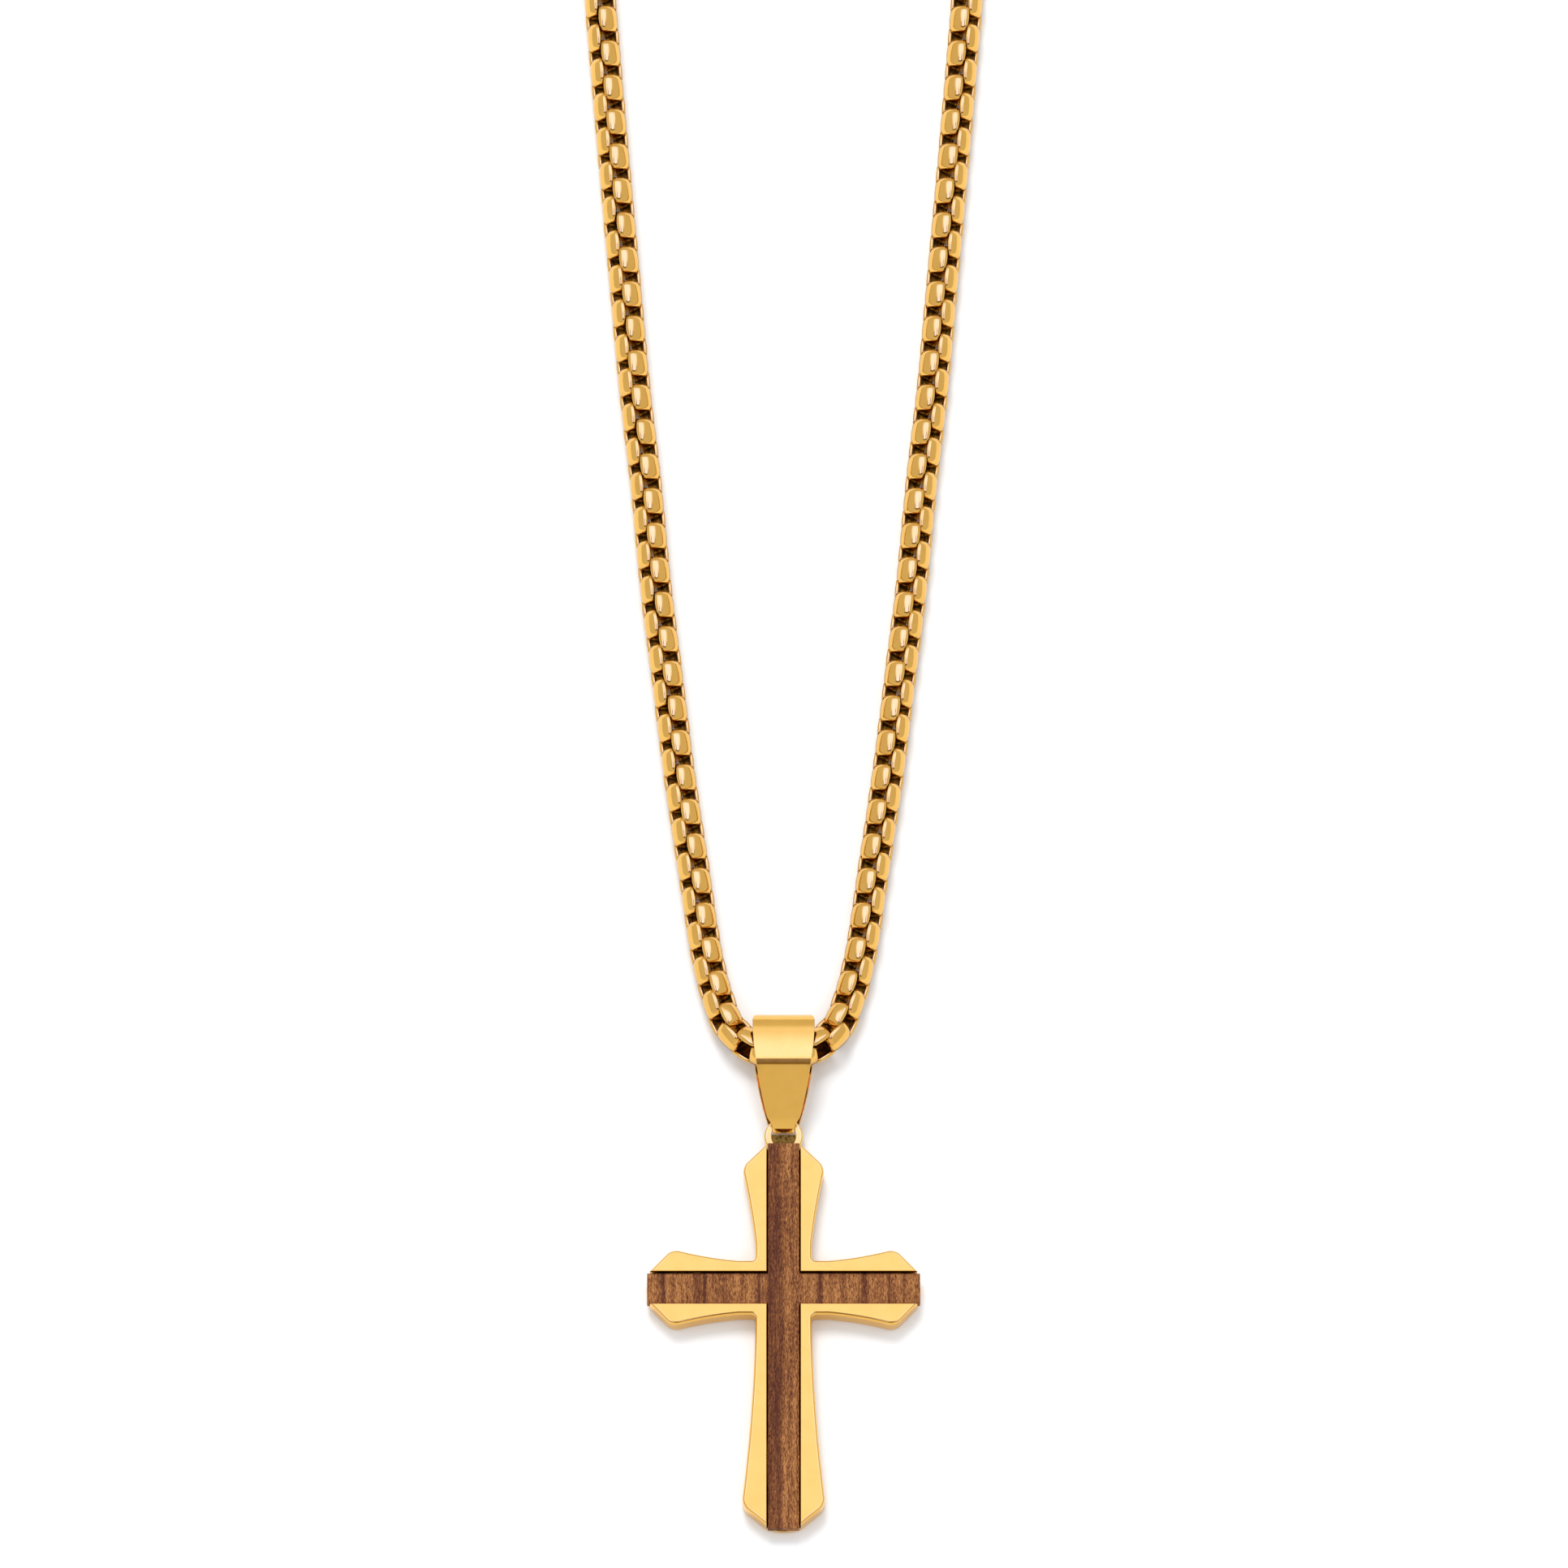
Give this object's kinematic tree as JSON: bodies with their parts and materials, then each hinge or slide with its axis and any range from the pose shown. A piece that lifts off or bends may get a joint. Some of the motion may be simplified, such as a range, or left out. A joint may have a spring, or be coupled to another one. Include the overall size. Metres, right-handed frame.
{
  "type": "cross pendant necklace",
  "caption": "Flared cross pendant with a cross-shaped wood inlay in a gold-tone metal channel, on a tapered strap bail and a round box chain with a lobster clasp.",
  "frame": {"origin": "centre of the crossing of the cross's two bars, on the flat back face", "axes": "+Z out of the cross's decorated face, +Y along the long bar towards the bail and the chain, +X to the wearer's left as seen from the front"},
  "size_m": [0.0538, 0.3465, 0.0067],
  "materials": {
    "plated_steel": "gold-tone plated steel, mirror polished",
    "chain_steel": "gold-tone plated steel, polished",
    "spring_steel": "bare spring wire",
    "wood": "reddish brown hardwood, fine grain along the long bar, satin oiled",
    "glue": "cured epoxy"
  },
  "bodies": {
    "chain": {"chain_left_strand": "chain_steel", "chain_right_strand": "chain_steel", "left_end_link": "chain_steel", "right_end_link": "chain_steel", "catch_ring": "chain_steel", "clasp_ring": "chain_steel"},
    "bail": {"bail": "plated_steel"},
    "cross": {"cross_body": "plated_steel", "lug_ring": "plated_steel", "inlay_glue": "glue", "wood_inlay": "wood"},
    "clasp": {"clasp_body": "chain_steel", "clasp_rivet": "chain_steel", "clasp_spring": "spring_steel"},
    "lever": {"clasp_lever": "chain_steel"}
  },
  "joints": [
    {"name": "bail_swing", "type": "hinge", "parent": "chain", "child": "bail", "pos_m": [0, 0.03035, 0.0032], "axis": [-1, 0, 0], "range_deg": [-30, 45]},
    {"name": "cross_swing", "type": "hinge", "parent": "bail", "child": "cross", "pos_m": [0, 0.02165, 0.00135], "axis": [-1, 0, 0], "range_deg": [-20, 20]},
    {"name": "clasp_roll", "type": "hinge", "parent": "chain", "child": "clasp", "pos_m": [0, 0.312, 0.0026], "axis": [1, 0, 0], "range_deg": [-10, 10]},
    {"name": "lever_press", "type": "hinge", "parent": "clasp", "child": "lever", "pos_m": [0.0009, 0.3133, 0.0026], "axis": [0, 0, 1], "range_deg": [0, 10], "stiffness_Nm_per_rad": 0.01, "springref_deg": -11.46}
  ]
}
